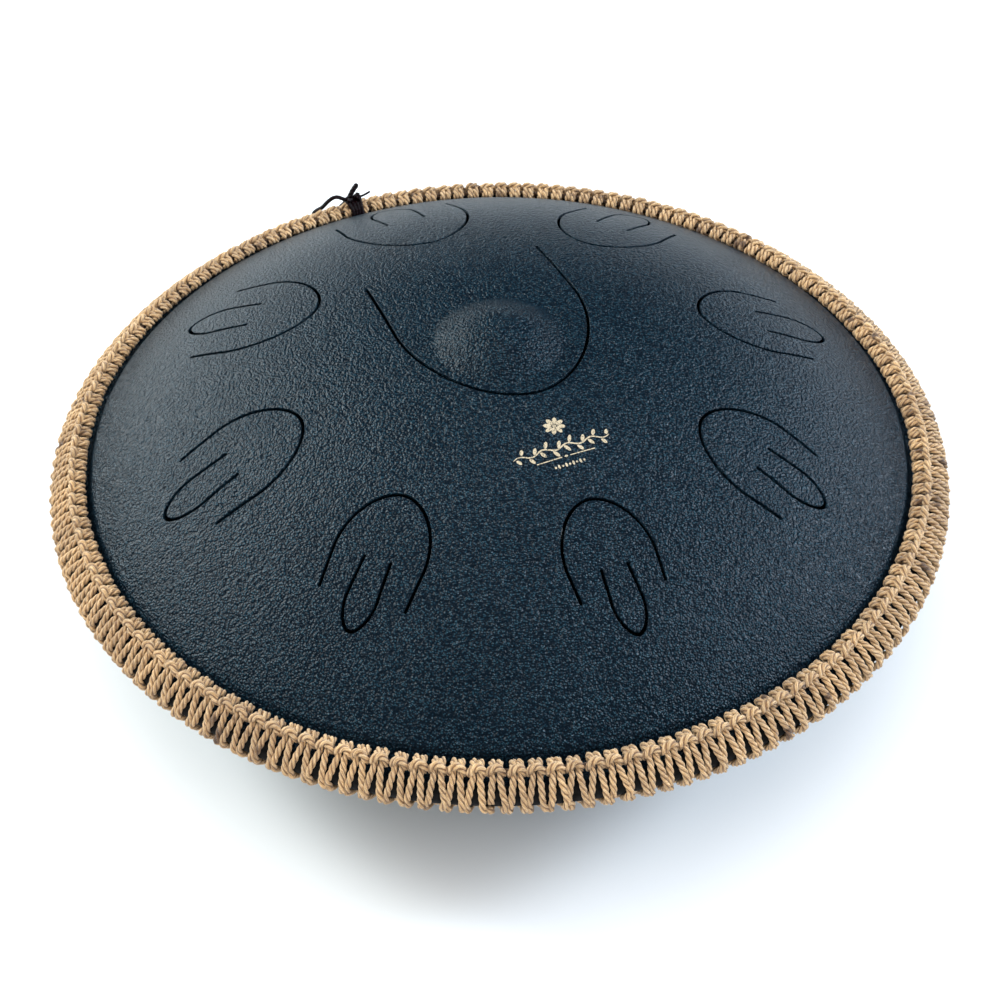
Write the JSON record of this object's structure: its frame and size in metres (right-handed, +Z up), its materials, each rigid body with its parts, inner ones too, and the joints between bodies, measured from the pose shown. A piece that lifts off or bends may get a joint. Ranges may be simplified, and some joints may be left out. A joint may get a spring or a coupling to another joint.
{
  "type": "steel tongue drum",
  "caption": "Round lens-shaped steel tongue drum: two pressed shells, U-shaped tongues cut round a central dome, a sound port below, a laced jute rim and rubber feet.",
  "frame": {"origin": "on the drum's axis, level with the soles of the feet", "axes": "+Z up along the drum's axis; -Y towards the player, the side of the small printed emblem and of the smallest tongues; +X to the player's right"},
  "size_m": [0.4, 0.4, 0.1549],
  "materials": {
    "shell_enamel": "satin navy powder coat with a fine pebbled grain",
    "jute": "matte three-ply natural jute cord",
    "tie_leather": "dark brown waxed cord",
    "rubber": "matte black rubber",
    "fastener_steel": "zinc-plated steel",
    "adhesive": "cured bonding bead"
  },
  "bodies": {
    "root": {"top_shell": "shell_enamel", "bottom_shell": "shell_enamel", "rim_adhesive": "adhesive", "rim_trim": "rubber", "upper_core_cord": "jute", "lower_core_cord": "jute", "lacing_cord": "jute", "tie_lashing": "tie_leather", "tie_knot": "tie_leather", "tie_end_long": "tie_leather", "tie_end_short": "tie_leather", "tie_end_thin": "tie_leather", "foot_1": "rubber", "foot_2": "rubber", "foot_3": "rubber", "foot_4": "rubber", "foot_screw_1": "fastener_steel", "foot_screw_2": "fastener_steel", "foot_screw_3": "fastener_steel", "foot_screw_4": "fastener_steel", "foot_washer_1": "fastener_steel", "foot_washer_2": "fastener_steel", "foot_washer_3": "fastener_steel", "foot_washer_4": "fastener_steel", "foot_nut_1": "fastener_steel", "foot_nut_2": "fastener_steel", "foot_nut_3": "fastener_steel", "foot_nut_4": "fastener_steel"}
  },
  "joints": []
}
